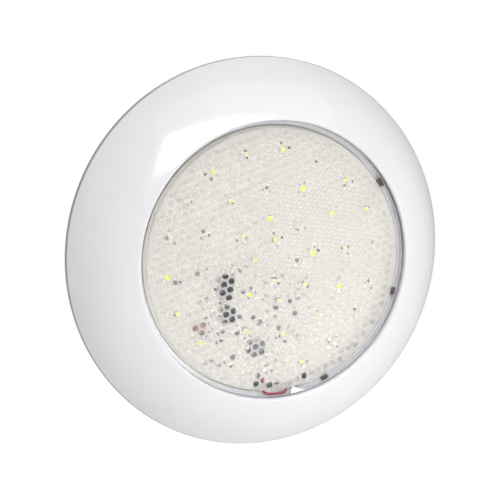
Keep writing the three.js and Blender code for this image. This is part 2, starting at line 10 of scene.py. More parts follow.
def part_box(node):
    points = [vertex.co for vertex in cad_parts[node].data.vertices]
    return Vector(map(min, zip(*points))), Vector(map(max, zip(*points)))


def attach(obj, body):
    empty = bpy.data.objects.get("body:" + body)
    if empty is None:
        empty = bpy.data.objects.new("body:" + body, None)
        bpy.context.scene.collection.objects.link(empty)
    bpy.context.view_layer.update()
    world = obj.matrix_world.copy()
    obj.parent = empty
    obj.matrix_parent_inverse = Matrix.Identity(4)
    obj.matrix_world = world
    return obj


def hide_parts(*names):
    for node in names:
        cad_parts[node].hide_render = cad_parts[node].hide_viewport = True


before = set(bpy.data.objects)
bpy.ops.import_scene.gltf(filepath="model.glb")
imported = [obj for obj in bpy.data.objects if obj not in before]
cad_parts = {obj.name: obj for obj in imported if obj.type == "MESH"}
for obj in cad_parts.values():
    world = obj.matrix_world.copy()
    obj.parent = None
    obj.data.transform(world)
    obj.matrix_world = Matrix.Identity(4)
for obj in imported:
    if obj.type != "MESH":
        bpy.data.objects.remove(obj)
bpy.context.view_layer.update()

# Pieces are drawn as seen from the front, in millimetres: X right, Y up, Z out of the wall.
MM = 0.001
TO_ROW_FRAME = Matrix.Rotation(math.pi / 2, 4, "X") @ Matrix.Scale(MM, 4)
ROUND_STEPS = 192
SMALL_STEPS = 32
SHARP_EDGE = math.radians(40)


def depth(node):
    """How far the back and the front of a CAD node stand out from the wall."""
    low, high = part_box(node)
    return -high[1] / MM, -low[1] / MM


def reach(node):
    """The outer radius of a CAD node that is round about the light's axis."""
    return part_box(node)[1][0] / MM


def middle(node):
    """Where the middle of a CAD node is, seen from the front."""
    low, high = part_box(node)
    return (low[0] + high[0]) / 2 / MM, (low[2] + high[2]) / 2 / MM


# Sizes that the frame gives.
SURROUND_RADIUS = reach("surround")
SURROUND_BACK = depth("surround")[0]
BRACKET_RADIUS = reach("wall_bracket")
BRACKET_PLATE = depth("wall_bracket")[1] - 0.8
COLLAR_BACK, COLLAR_FRONT = depth("bracket_collar")
LUG_BACK, TWIST_FRONT = depth("twist_ring")
FLANGE_RADIUS = reach("housing_ring")
RING_BACK = depth("housing_ring")[0]
SEAL_RADIUS = reach("lens_seal")
SEAL_BACK, SEAL_FRONT = depth("lens_seal")
BOARD_RADIUS = reach("led_board")
BOARD_BACK, BOARD_FRONT = depth("led_board")
LENS_FLANGE_RADIUS = reach("lens")
LENS_FLANGE_BACK, LENS_FRONT = depth("lens")
CLAMP_RADIUS = reach("lens_clamp_ring")
CLAMP_BACK, CLAMP_FRONT = depth("lens_clamp_ring")
LED_BACK, LED_FRONT = depth("leds_outer_string")

# Sizes that the boxes don't give, as in the CAD.
RIM_HEIGHT = 4
SHELL_THICKNESS = 2.5
SHELL_TOP = (101.8, 41.8)
SHELL_TURN = math.radians(36)
LIP_RADIUS = 1.5
LIP_BOTTOM = 38.9
HOUSING_BACK = 12
HOUSING_WALL = 3
HOUSING_RADIUS = 102
FLANGE_BACK = 25.5
FLANGE_FRONT = 29.7
BRACKET_HOLE_RADIUS = 27
SLOT_WIDTH = 5.5
SLOT_LENGTH = 14
SLOT_RADIUS = 55
NOSE_BACK = 7.1
BAYONET_ANGLES = (90, 210, 330)
EAR_ANGLES = (45, 135, 225, 315)
EAR_RADIUS = 126
CLIP_ANGLES = (36, -13.7, -63.4)
CLAMP_SCREW_RADIUS = 110
CLAMP_SCREW_ANGLES = (30, 90, 150, 210, 270, 330)
LOCK_SCREW_LEVEL = 3.6
GLAND_BORE_RADIUS = 4
LENS_BACK = 35.3
SKIRT_INNER = 99.6
SKIRT_OUTER = 101.6
NOTCH = (-12, 15)
NOTCH_TOP = -90
CLIP_INNER = 96.8
CLIP_HALF_ANGLE = 1.6
NOSE_INNER = 74
LEAD_RADIUS = 0.85
LEAD_LEVEL = 22.7
SEAL_WIDTH = 2.6

# Pads on the board that the CAD leaves out: those round the driver parts and each LED's vias.
DRIVER_CENTRE = (-16, -45)
DRIVER_REACH = 50
PAD_PITCH = 3.8
VIA_ANGLES = (15, 70, 140, 205, 290)
VIA_CIRCLE = 4.9
VIA_RADIUS = 0.6


# Mesh helpers.

def polar(radius, degrees):
    """A point at a radius and an angle, seen from the front."""
    angle = math.radians(degrees)
    return radius * math.cos(angle), radius * math.sin(angle)


def turn(bm, profile, steps=ROUND_STEPS):
    """Turns a closed profile of (radius, height) points about Z."""
    rings = []
    for radius, height in profile:
        count = 1 if radius < 1e-6 else steps
        rings.append([
            bm.verts.new((
                radius * math.sin(2 * math.pi * k / steps),
                -radius * math.cos(2 * math.pi * k / steps),
                height,
            ))
            for k in range(count)
        ])
    made = []
    for first, second in zip(rings, rings[1:] + rings[:1]):
        if len(first) + len(second) == 2:
            continue
        for k in range(steps):
            corners = []
            for ring, place in ((first, k), (first, k + 1), (second, k + 1), (second, k)):
                vertex = ring[place % len(ring)]
                if vertex not in corners:
                    corners.append(vertex)
            made.append(bm.faces.new(corners))
    return [vertex for ring in rings for vertex in ring]


def softened(profile, radius, steps=3):
    """The same closed profile with its corners off the axis rounded."""
    points = []
    for index, corner in enumerate(profile):
        here = Vector(corner)
        if here.x < 1e-6:
            points.append(corner)
            continue
        before = Vector(profile[index - 1]) - here
        after = Vector(profile[(index + 1) % len(profile)]) - here
        cut = min(radius, before.length * 0.45, after.length * 0.45)
        start = here + before.normalized() * cut
        end = here + after.normalized() * cut
        for step in range(steps + 1):
            t = step / steps
            points.append(tuple(start * (1 - t) ** 2 + here * 2 * t * (1 - t) + end * t ** 2))
    return points


def cylinder(bm, radius, back, front, at=(0, 0), steps=SMALL_STEPS):
    """A closed cylinder about an upright axis."""
    made = turn(bm, [(0, back), (radius, back), (radius, front), (0, front)], steps)
    bmesh.ops.translate(bm, verts=made, vec=(at[0], at[1], 0))
    return made


def tube_profile(inner, outer, back, front):
    """The profile of a plain ring."""
    return [(inner, back), (outer, back), (outer, front), (inner, front)]


def prism(bm, outline, back, front):
    """A closed prism on an anticlockwise outline of (x, y) points."""
    low = [bm.verts.new((x, y, back)) for x, y in outline]
    high = [bm.verts.new((x, y, front)) for x, y in outline]
    bm.faces.new(low[::-1])
    bm.faces.new(high)
    for k in range(len(outline)):
        after = (k + 1) % len(outline)
        bm.faces.new((low[k], low[after], high[after], high[k]))
    return low + high


def box_outline(left, right, bottom, top):
    """The outline of an upright rectangle."""
    return [(left, bottom), (right, bottom), (right, top), (left, top)]


def sector_outline(inner, outer, start, end, step=1.5):
    """The outline of a piece of a ring between two angles in degrees."""
    count = max(2, round((end - start) / step))
    angles = [start + (end - start) * k / count for k in range(count + 1)]
    return [polar(outer, a) for a in angles] + [polar(inner, a) for a in reversed(angles)]


def rounded_outline(width, length, radius, steps=5):
    """The outline of a rectangle with round corners, centred on the axis."""
    points = []
    for corner in range(4):
        sx, sy = ((1, 1), (-1, 1), (-1, -1), (1, -1))[corner]
        for step in range(steps + 1):
            angle = math.pi / 2 * (corner + step / steps)
            points.append((
                sx * (width / 2 - radius) + radius * math.cos(angle),
                sy * (length / 2 - radius) + radius * math.sin(angle),
            ))
    return points


def band(bm, first, second):
    """Joins two rings of as many vertices with four-sided faces."""
    made = []
    for k in range(len(first)):
        after = (k + 1) % len(first)
        made.append(bm.faces.new((first[k], first[after], second[after], second[k])))
    return made


def paint(vertices, index):
    """Gives the faces round the vertices another of the piece's materials."""
    for face in {f for v in vertices for f in v.link_faces}:
        face.material_index = index


def moved(bm, vertices, angle=0.0, offset=(0, 0, 0)):
    """Turns vertices about Z by degrees, then shifts them."""
    bmesh.ops.rotate(bm, verts=vertices, matrix=Matrix.Rotation(math.radians(angle), 3, "Z"))
    bmesh.ops.translate(bm, verts=vertices, vec=offset)


def bevelled(bm, width):
    """Rounds the sharp edges of everything drawn so far."""
    sharp = [e for e in bm.edges if len(e.link_faces) == 2
             and e.calc_face_angle(0) > SHARP_EDGE]
    bmesh.ops.bevel(bm, geom=sharp, offset=width, segments=2, profile=0.5,
                    affect="EDGES", clamp_overlap=True)


def as_object(name, bm):
    """Closes a drawing into a mesh object, still in millimetres as seen from the front."""
    bmesh.ops.recalc_face_normals(bm, faces=bm.faces)
    mesh = bpy.data.meshes.new(name)
    bm.to_mesh(mesh)
    bm.free()
    made = bpy.data.objects.new(name, mesh)
    bpy.context.scene.collection.objects.link(made)
    return made


def combine(target, tool, operation):
    """Joins a tool to the target or cuts it out of it, and removes the tool."""
    modifier = target.modifiers.new(operation, "BOOLEAN")
    modifier.operation = operation
    modifier.object = tool
    modifier.solver = "EXACT"
    graph = bpy.context.evaluated_depsgraph_get()
    mesh = bpy.data.meshes.new_from_object(target.evaluated_get(graph))
    target.modifiers.clear()
    target.data = mesh
    bpy.data.objects.remove(tool)


def finished(piece, body, nodes, materials, sharp_angle=35):
    piece.data.transform(TO_ROW_FRAME)
    for polygon in piece.data.polygons:
        polygon.use_smooth = True
    piece.data.set_sharp_from_angle(angle=math.radians(sharp_angle))
    if not piece.data.materials:
        for material in materials:
            piece.data.materials.append(material)
    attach(piece, body)
    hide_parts(*nodes)
    return piece


# Materials.

NOISE_LOW = 0.3
NOISE_HIGH = 0.7


def new_material(name):
    """A node material, its Principled shader and the place to link it to."""
    material = bpy.data.materials.new(name)
    material.use_nodes = True
    nodes = material.node_tree.nodes
    return material, nodes["Principled BSDF"], nodes["Material Output"]


def noise_node(tree, size_mm, detail=3.0):
    """Noise whose features are about the given size, fixed to the piece."""
    place = tree.nodes.new("ShaderNodeTexCoord")
    texture = tree.nodes.new("ShaderNodeTexNoise")
    texture.inputs["Scale"].default_value = 1 / (size_mm * MM)
    texture.inputs["Detail"].default_value = detail
    texture.inputs["Roughness"].default_value = 0.5
    tree.links.new(place.outputs["Object"], texture.inputs["Vector"])
    return texture.outputs["Fac"]


def coloured(tree, shader, noise, low, high):
    """Changes smoothly from one base colour to another as a noise value rises."""
    ramp = tree.nodes.new("ShaderNodeValToRGB")
    ramp.color_ramp.interpolation = "EASE"
    ramp.color_ramp.elements[0].position = NOISE_LOW
    ramp.color_ramp.elements[0].color = (*low, 1)
    ramp.color_ramp.elements[1].position = NOISE_HIGH
    ramp.color_ramp.elements[1].color = (*high, 1)
    tree.links.new(noise, ramp.inputs["Fac"])
    tree.links.new(ramp.outputs["Color"], shader.inputs["Base Color"])


def glossed(tree, shader, noise, low, high):
    """Spreads the roughness over a range as a noise value rises."""
    spread = tree.nodes.new("ShaderNodeMapRange")
    spread.inputs["From Min"].default_value = NOISE_LOW
    spread.inputs["From Max"].default_value = NOISE_HIGH
    spread.inputs["To Min"].default_value = low
    spread.inputs["To Max"].default_value = high
    tree.links.new(noise, spread.inputs["Value"])
    tree.links.new(spread.outputs["Result"], shader.inputs["Roughness"])


def share_of(tree, value, start, end, top=1.0):
    """Rises from 0 to the top share as a value goes from start to end, and stays there."""
    share = tree.nodes.new("ShaderNodeMapRange")
    share.inputs["From Min"].default_value = start
    share.inputs["From Max"].default_value = end
    share.inputs["To Max"].default_value = top
    tree.links.new(value, share.inputs["Value"])
    return share.outputs["Result"]


def tint(tree, shader, share, colour):
    """Mixes a share of another colour over a shader's base colour."""
    mix = tree.nodes.new("ShaderNodeMix")
    mix.data_type = "RGBA"
    mix.inputs["B"].default_value = (*colour, 1)
    tree.links.new(share, mix.inputs["Factor"])
    tree.links.new(shader.inputs["Base Color"].links[0].from_socket, mix.inputs["A"])
    tree.links.new(mix.outputs["Result"], shader.inputs["Base Color"])


def by_ray(tree, ray, usual, special):
    """One shader for a kind of ray, and the usual one for every other ray."""
    path = tree.nodes.new("ShaderNodeLightPath")
    mix = tree.nodes.new("ShaderNodeMixShader")
    tree.links.new(path.outputs[ray], mix.inputs["Fac"])
    tree.links.new(usual, mix.inputs[1])
    tree.links.new(special, mix.inputs[2])
    return mix.outputs["Shader"]


def relieved(tree, shader, noise, relief_mm):
    """Turns a noise value into relief of the given depth."""
    bump = tree.nodes.new("ShaderNodeBump")
    bump.inputs["Strength"].default_value = 1.0
    bump.inputs["Distance"].default_value = relief_mm * MM
    tree.links.new(noise, bump.inputs["Height"])
    tree.links.new(bump.outputs["Normal"], shader.inputs["Normal"])


def grained(name, colour, shade, roughness, mottle_mm, grain_mm, relief_mm, metallic=0.0):
    """A surface with slow colour mottling, uneven gloss and a fine grain."""
    material, shader, _ = new_material(name)
    tree = material.node_tree
    darker = tuple(channel * shade for channel in colour)
    coloured(tree, shader, noise_node(tree, mottle_mm), darker, colour)
    grain = noise_node(tree, grain_mm, detail=2.0)
    glossed(tree, shader, grain, roughness * 0.85, roughness * 1.15)
    relieved(tree, shader, grain, relief_mm)
    shader.inputs["Metallic"].default_value = metallic
    return material


def white_abs():
    """Glossy moulded white ABS, with a faint orange peel and flow variation."""
    material, shader, _ = new_material("white_abs")
    tree = material.node_tree
    flow = noise_node(tree, 60, detail=2.0)
    coloured(tree, shader, flow, (0.785, 0.788, 0.805), (0.805, 0.808, 0.822))
    glossed(tree, shader, noise_node(tree, 9, detail=4.0), 0.11, 0.16)
    relieved(tree, shader, noise_node(tree, 2.4, detail=1.0), 0.006)
    shader.inputs["IOR"].default_value = 1.53
    return material


def lamps_pass(tree, surface, output):
    """Lets lamps shine through a clear surface without caustics."""
    clear = tree.nodes.new("ShaderNodeBsdfTransparent")
    clear.inputs["Color"].default_value = (0.95, 0.955, 0.96, 1)
    mixed = by_ray(tree, "Is Shadow Ray", surface, clear.outputs["BSDF"])
    tree.links.new(mixed, output.inputs["Surface"])


def clear_polycarbonate():
    """Clear polycarbonate with a faint ripple."""
    material, shader, output = new_material("clear_polycarbonate")
    tree = material.node_tree
    shader.inputs["Base Color"].default_value = (0.985, 0.99, 0.99, 1)
    shader.inputs["Transmission Weight"].default_value = 1.0
    shader.inputs["Roughness"].default_value = 0.01
    shader.inputs["IOR"].default_value = 1.58
    relieved(tree, shader, noise_node(tree, 14, detail=1.0), 0.02)
    lamps_pass(tree, shader.outputs["BSDF"], output)
    return material


def frosted_polycarbonate(name, colour, clearness):
    """The milky polycarbonate between the lenslets: part blurred view, part white."""
    material, shader, output = new_material(name)
    tree = material.node_tree
    thinner = tuple(channel * 0.97 for channel in colour)
    coloured(tree, shader, noise_node(tree, 7, detail=2.0), thinner, colour)
    shader.inputs["Transmission Weight"].default_value = clearness
    shader.inputs["Roughness"].default_value = 0.22
    shader.inputs["IOR"].default_value = 1.15
    lamps_pass(tree, shader.outputs["BSDF"], output)
    return material


def solder_mask():
    """Warm white solder mask, with small dark pads and tracks crowded round the driver parts."""
    material = grained("solder_mask", (0.665, 0.63, 0.575), 0.97, 0.42, 25, 0.5, 0.01)
    tree = material.node_tree
    shader = tree.nodes["Principled BSDF"]
    place = tree.nodes.new("ShaderNodeTexCoord")
    away = tree.nodes.new("ShaderNodeVectorMath")
    away.operation = "DISTANCE"
    away.inputs[1].default_value = (DRIVER_CENTRE[0] * MM, -BOARD_FRONT * MM, DRIVER_CENTRE[1] * MM)
    tree.links.new(place.outputs["Object"], away.inputs[0])
    reach_edge = DRIVER_REACH * MM
    close = share_of(tree, away.outputs["Value"], reach_edge, reach_edge * 0.7)
    spots = tree.nodes.new("ShaderNodeTexVoronoi")
    spots.inputs["Scale"].default_value = 1 / (PAD_PITCH * MM)
    tree.links.new(place.outputs["Object"], spots.inputs["Vector"])
    pad = share_of(tree, spots.outputs["Distance"], 0.36, 0.26, 0.95)
    share = tree.nodes.new("ShaderNodeMath")
    share.operation = "MULTIPLY"
    tree.links.new(close, share.inputs[0])
    tree.links.new(pad, share.inputs[1])
    tint(tree, shader, share.outputs["Value"], (0.16, 0.16, 0.17))
    return material


def painted_rim_shade(material):
    """Paints shade on the last of the surround's face where it turns over the rim: a dark grey line that
    stands in for the shade at the edge.
    """
    tree = material.node_tree
    shader = tree.nodes["Principled BSDF"]
    place = tree.nodes.new("ShaderNodeTexCoord")
    flat = tree.nodes.new("ShaderNodeVectorMath")
    flat.operation = "MULTIPLY"
    flat.inputs[1].default_value = (1, 0, 1)
    tree.links.new(place.outputs["Object"], flat.inputs[0])
    radius = tree.nodes.new("ShaderNodeVectorMath")
    radius.operation = "LENGTH"
    tree.links.new(flat.outputs["Vector"], radius.inputs[0])
    start = (SURROUND_RADIUS - 1.0) * MM
    end = (SURROUND_RADIUS - 0.5) * MM
    # Painted shade: a dark grey band over the last millimetre of the face before the rim.
    tint(tree, shader, share_of(tree, radius.outputs["Value"], start, end, 0.9), (0.30, 0.30, 0.305))
    return material


WHITE = white_abs()
# The surround's white ABS, with a painted shade line where it turns over the rim.
SURROUND_WHITE_WITH_PAINTED_RIM_SHADE = painted_rim_shade(white_abs())
CLEAR = clear_polycarbonate()
FROSTED_RIM = frosted_polycarbonate("frosted_rim", (0.79, 0.77, 0.745), 0.2)
FROSTED_LAND = frosted_polycarbonate("frosted_land", (0.785, 0.765, 0.74), 0.4)
SATIN_SKIRT = frosted_polycarbonate("satin_skirt", (0.78, 0.78, 0.82), 0.2)
MASK = solder_mask()
TRACK = grained("masked_track", (0.66, 0.625, 0.57), 0.96, 0.35, 12, 0.4, 0.01)
PACKAGE = grained("led_package", (0.88, 0.88, 0.85), 0.96, 0.35, 2, 0.3, 0.005)
PHOSPHOR = grained("led_phosphor", (0.82, 0.90, 0.20), 0.88, 0.35, 0.8, 0.15, 0.01)
SOLDER = grained("solder", (0.62, 0.63, 0.64), 0.85, 0.25, 1.2, 0.4, 0.02, metallic=1.0)
EPOXY = grained("black_epoxy", (0.022, 0.022, 0.027), 0.75, 0.45, 3, 0.25, 0.02)
FERRITE = grained("grey_ferrite", (0.17, 0.175, 0.19), 0.8, 0.5, 3, 0.3, 0.03)
BROWN = grained("brown_moulding", (0.10, 0.055, 0.05), 0.7, 0.42, 3, 0.3, 0.015)
PINK_BROWN = grained("pink_brown_moulding", (0.36, 0.23, 0.205), 0.8, 0.42, 3, 0.3, 0.015)
RED = grained("red_sheath", (0.42, 0.02, 0.06), 0.9, 0.35, 5, 0.4, 0.008)
GREEN = grained("green_sheath", (0.16, 0.40, 0.30), 0.9, 0.35, 5, 0.4, 0.008)
BLACK = grained("black_sheath", (0.02, 0.02, 0.022), 0.8, 0.35, 5, 0.4, 0.008)
SILICONE = grained("white_silicone", (0.74, 0.74, 0.75), 0.95, 0.5, 8, 0.4, 0.02)
RUBBER = grained("black_rubber", (0.018, 0.018, 0.018), 0.7, 0.75, 4, 0.3, 0.03)
NYLON = grained("black_nylon", (0.026, 0.026, 0.028), 0.8, 0.42, 6, 0.25, 0.015)
STEEL = grained("stainless_steel", (0.60, 0.61, 0.62), 0.9, 0.28, 8, 0.35, 0.006, metallic=1.0)


# Surround.

def shell_slopes():
    """The slopes of the shell where it starts at the rim and where it meets the lip."""
    start = Vector((SURROUND_RADIUS, SURROUND_BACK + RIM_HEIGHT))
    chord = Vector(SHELL_TOP) - start
    chord_slope = math.atan2(chord.y, -chord.x)
    return chord_slope + SHELL_TURN / 2, chord_slope - SHELL_TURN / 2


def shell_arc(offset, steps):
    """Points from rim to lip on the shell's arc, moved inwards by an offset."""
    rim_slope, lip_slope = shell_slopes()
    start = Vector((SURROUND_RADIUS, SURROUND_BACK + RIM_HEIGHT))
    chord = (Vector(SHELL_TOP) - start).length
    radius = chord / (2 * math.sin(SHELL_TURN / 2))
    centre = start - radius * Vector((math.sin(rim_slope), math.cos(rim_slope)))
    points = []
    for step in range(steps + 1):
        slope = rim_slope + (lip_slope - rim_slope) * step / steps
        points.append(tuple(centre + (radius - offset) * Vector((math.sin(slope), math.cos(slope)))))
    return points


def lip_arc(steps):
    """Points on the rounded lip, from the shell to where it faces the axis."""
    slope = shell_slopes()[1]
    centre = Vector(SHELL_TOP) - LIP_RADIUS * Vector((math.sin(slope), math.cos(slope)))
    points = []
    for step in range(1, steps + 1):
        angle = math.pi / 2 - slope + (math.pi / 2 + slope) * step / steps
        points.append(tuple(centre + LIP_RADIUS * Vector((math.cos(angle), math.sin(angle)))))
    return points


def surround():
    """The domed shell with its lip, the four screw bosses and the screwdriver notch."""
    outer = shell_arc(0, 40)
    inner = shell_arc(SHELL_THICKNESS, 24)[::-1]
    lip = lip_arc(14)
    rim = softened([(inner[-1][0], SURROUND_BACK), (SURROUND_RADIUS, SURROUND_BACK),
                    outer[0], outer[1]], 0.6, 4)
    bm = bmesh.new()
    turn(bm, rim[:15] + outer[1:] + lip + [(lip[-1][0], LIP_BOTTOM)] + inner)
    shell = as_object("surround_shell", bm)

    bosses = bmesh.new()
    for angle in EAR_ANGLES:
        made = cylinder(bosses, 4, HOUSING_BACK + HOUSING_WALL + 0.3, 30, polar(EAR_RADIUS, angle))
        top = [v for v in made if v.co.z > 29]
        for vertex in top:
            vertex.co.z = shell_height(math.hypot(vertex.co.x, vertex.co.y)) - SHELL_THICKNESS
    combine(shell, as_object("bosses", bosses), "UNION")

    cuts = bmesh.new()
    prism(cuts, box_outline(-3, 3, -SURROUND_RADIUS - 1, -SURROUND_RADIUS + 8),
          SURROUND_BACK - 1, SURROUND_BACK + RIM_HEIGHT - 0.1)
    for angle in EAR_ANGLES:
        cylinder(cuts, 1.6, HOUSING_BACK, HOUSING_BACK + 10, polar(EAR_RADIUS, angle))
    combine(shell, as_object("surround_cuts", cuts), "DIFFERENCE")
    return finished(shell, "lamp", ["surround"], [SURROUND_WHITE_WITH_PAINTED_RIM_SHADE])


def shell_height(radius):
    """The height of the shell's outer face at a radius."""
    points = shell_arc(0, 60)
    for first, second in zip(points, points[1:]):
        if second[0] <= radius <= first[0]:
            share = (first[0] - radius) / (first[0] - second[0])
            return first[1] + share * (second[1] - first[1])
    return SHELL_TOP[1]


# Lens.

LENSLET_PITCH = 6.0
LENSLET_RADIUS = 2.4
LENSLET_HEIGHT = 0.4
LENSLET_RIM = 2.75
LENSLET_TURN = 23
LENSLET_FIELD = 94.4
LENS_MATERIALS = [CLEAR, FROSTED_RIM, FROSTED_LAND, SATIN_SKIRT]
CLEAR_FACE, RIM_FACE, LAND_FACE, SKIRT_FACE = range(4)


def lenslet_centres():
    """Centres of the close-packed lenslets whose cells fit in the round field."""
    rows = math.ceil(LENSLET_FIELD / LENSLET_PITCH) + 2
    along = Vector(polar(LENSLET_PITCH, LENSLET_TURN))
    across = Vector(polar(LENSLET_PITCH, LENSLET_TURN + 60))
    centres = []
    for i in range(-2 * rows, 2 * rows + 1):
        for j in range(-2 * rows, 2 * rows + 1):
            centre = along * i + across * j
            if centre.length < LENSLET_FIELD - LENSLET_PITCH / math.sqrt(3):
                centres.append(centre)
    return centres


def lenslet_cell(bm, centre):
    """One lenslet on its six-sided cell of the lens's back, facing the board."""
    per_side = 2
    corner_radius = LENSLET_PITCH / math.sqrt(3)
    corners = [centre + Vector(polar(corner_radius, LENSLET_TURN + 30 + 60 * k)) for k in range(6)]
    edge = []
    for k in range(6):
        for step in range(per_side):
            edge.append(corners[k].lerp(corners[(k + 1) % 6], step / per_side))
    curve = (LENSLET_RADIUS ** 2 + LENSLET_HEIGHT ** 2) / (2 * LENSLET_HEIGHT)
    steps = [(LENSLET_RIM, 0), (LENSLET_RADIUS, 0)]
    for share in (0.85, 0.65, 0.4, 0.2):
        radius = LENSLET_RADIUS * share
        steps.append((radius, math.sqrt(curve ** 2 - radius ** 2) - (curve - LENSLET_HEIGHT)))
    kinds = (LAND_FACE, RIM_FACE, CLEAR_FACE)
    rings = [[bm.verts.new((p.x, p.y, LENS_BACK)) for p in edge]]
    for radius, drop in steps:
        ring = []
        for p in edge:
            spoke = (p - centre).normalized() * radius + centre
            ring.append(bm.verts.new((spoke.x, spoke.y, LENS_BACK - drop)))
        rings.append(ring)
    for level, (first, second) in enumerate(zip(rings, rings[1:])):
        for face in band(bm, first, second):
            face.material_index = kinds[min(level, 2)]
    tip = bm.verts.new((centre.x, centre.y, LENS_BACK - LENSLET_HEIGHT))
    for k in range(len(edge)):
        bm.faces.new((rings[-1][k], rings[-1][(k + 1) % len(edge)], tip))


def lens():
    """A cup of clear polycarbonate: smooth outside, lenslets on the inside."""
    bm = bmesh.new()
    for centre in lenslet_centres():
        lenslet_cell(bm, centre)
    bmesh.ops.remove_doubles(bm, verts=bm.verts, dist=0.01)
    border = [e for e in bm.edges if e.is_boundary]
    skirt = softened([
        (SKIRT_INNER, LENS_FLANGE_BACK),
        (LENS_FLANGE_RADIUS, LENS_FLANGE_BACK),
        (LENS_FLANGE_RADIUS, 32.5),
        (SKIRT_OUTER, 32.5),
        (SKIRT_OUTER, LENS_FRONT),
        (0, LENS_FRONT),
    ], 0.5, 4)
    bead = [(LENSLET_FIELD, LENS_BACK), (LENSLET_FIELD + 0.15, LENS_BACK - 0.5),
            (LENSLET_FIELD + 0.45, LENS_BACK - 0.5), (LENSLET_FIELD + 0.6, LENS_BACK)]
    shoulder = bead + [(SKIRT_INNER - 0.3, LENS_BACK), (SKIRT_INNER, LENS_BACK - 0.3)]
    profile = shoulder + skirt[2:]
    rings = []
    for radius, height in profile:
        count = 1 if radius < 1e-6 else ROUND_STEPS
        rings.append([
            bm.verts.new((*polar(radius, 360 * k / ROUND_STEPS), height)) for k in range(count)])
    tip = rings.pop()[0]
    for first, second in zip(rings, rings[1:]):
        band(bm, first, second)
    for k in range(ROUND_STEPS):
        bm.faces.new((rings[-1][k], rings[-1][(k + 1) % ROUND_STEPS], tip))
    field = [bm.edges.get((rings[0][k], rings[0][(k + 1) % ROUND_STEPS])) for k in range(ROUND_STEPS)]
    margin = bmesh.ops.triangle_fill(bm, edges=border + field, use_beauty=True)["geom"]
    for face in margin:
        if isinstance(face, bmesh.types.BMFace):
            face.material_index = LAND_FACE
    for face in bm.faces:
        centre = face.calc_center_median()
        if centre.xy.length > SKIRT_INNER - 0.1 and centre.z < LENS_FRONT - 0.6:
            face.material_index = SKIRT_FACE
    piece = as_object("lens_cup", bm)
    return finished(piece, "lamp", ["lens"], LENS_MATERIALS,
                    sharp_angle=30)


# Board, LEDs and driver parts.

LED_MATERIALS = [PACKAGE, PHOSPHOR, SOLDER, TRACK]
PHOSPHOR_FACE, SOLDER_FACE, TRACK_FACE = range(1, 4)


def board():
    """The aluminium board, with the leads' notch and a fine bevel."""
    bm = bmesh.new()
    turn(bm, softened([(0, BOARD_BACK), (BOARD_RADIUS, BOARD_BACK), (BOARD_RADIUS, BOARD_FRONT),
                       (0, BOARD_FRONT)], 0.2))
    piece = as_object("board", bm)
    notch = bmesh.new()
    prism(notch, box_outline(*NOTCH, -BOARD_RADIUS - 1, NOTCH_TOP), BOARD_BACK - 1, BOARD_FRONT + 1)
    combine(piece, as_object("notch", notch), "DIFFERENCE")
    return finished(piece, "lamp", ["led_board"], [MASK])


def led_package(bm, radius, angle):
    """One LED: a white package almost filled by its phosphor, its fillets and its heat vias."""
    body = prism(bm, rounded_outline(3.5, 3.2, 0.25, 3), LED_BACK, LED_FRONT - 0.12)
    phosphor = prism(bm, rounded_outline(3.1, 2.8, 0.9, 6), LED_FRONT - 0.3, LED_FRONT - 0.02)
    ends = []
    for side in (-1, 1):
        fillet = prism(bm, box_outline(-0.7, 0.7, -1.1, 1.1), LED_BACK, LED_BACK + 0.25)
        bmesh.ops.translate(bm, verts=fillet, vec=(side * 2.4, 0, 0))
        ends += fillet
    for via_angle in VIA_ANGLES:
        ends += cylinder(bm, VIA_RADIUS, LED_BACK - 0.1, LED_BACK + 0.1,
                         polar(VIA_CIRCLE, via_angle), 8)
    paint(phosphor, PHOSPHOR_FACE)
    paint(ends, SOLDER_FACE)
    moved(bm, body + phosphor + ends, angle, (*polar(radius, angle), 0))


def led_string(name, radius, count, first_angle):
    """A ring of LEDs on its track."""
    bm = bmesh.new()
    pitch = 360 / count
    track = sector_outline(radius - 0.6, radius + 0.6, first_angle,
                           first_angle + pitch * (count - 1))
    paint(prism(bm, track, LED_BACK - 0.28, LED_BACK - 0.12), TRACK_FACE)
    for index in range(count):
        led_package(bm, radius, first_angle + pitch * index)
    piece = as_object(f"led_ring_{name}", bm)
    return finished(piece, "lamp", [f"leds_{name}_string"], LED_MATERIALS)


def driver_part(name, node, outline, height, legs, material):
    """A moulded driver part standing on bent legs along its two long sides."""
    bm = bmesh.new()
    base = LED_BACK
    prism(bm, outline, base + 0.45, base + height)
    bevelled(bm, 0.25)
    width = max(x for x, _ in outline)
    length = max(y for _, y in outline) * 2
    for leg in range(legs):
        y = length * ((leg + 0.5) / legs - 0.5)
        for side in (-1, 1):
            inner, outer = sorted((side * (width - 0.4), side * (width + 1.1)))
            foot = prism(bm, box_outline(inner, outer, y - 0.5, y + 0.5), base - 0.25, base + 0.7)
            paint(foot, 1)
    moved(bm, bm.verts, 0, (*middle(node), 0))
    piece = as_object(name, bm)
    return finished(piece, "lamp", [node], [material, SOLDER])


def driver_parts():
    """The parts on the lower left of the board."""
    driver_part("rectifier_block", "bridge_rectifier", rounded_outline(10, 17, 0.4), 1.7, 2,
                EPOXY)
    driver_part("driver_block", "driver_chip", rounded_outline(9, 10.5, 0.3), 1.7, 4,
                EPOXY)
    driver_part("inductor_block", "power_inductor", rounded_outline(11.4, 11, 2.6), 1.7, 1,
                FERRITE)
    driver_part("capacitor_block", "film_capacitor", rounded_outline(9, 6, 0.9), 1.7, 1,
                PINK_BROWN)
    driver_part("resistor_block", "sense_resistor", rounded_outline(4.2, 3, 0.1), 0.8, 1,
                EPOXY)


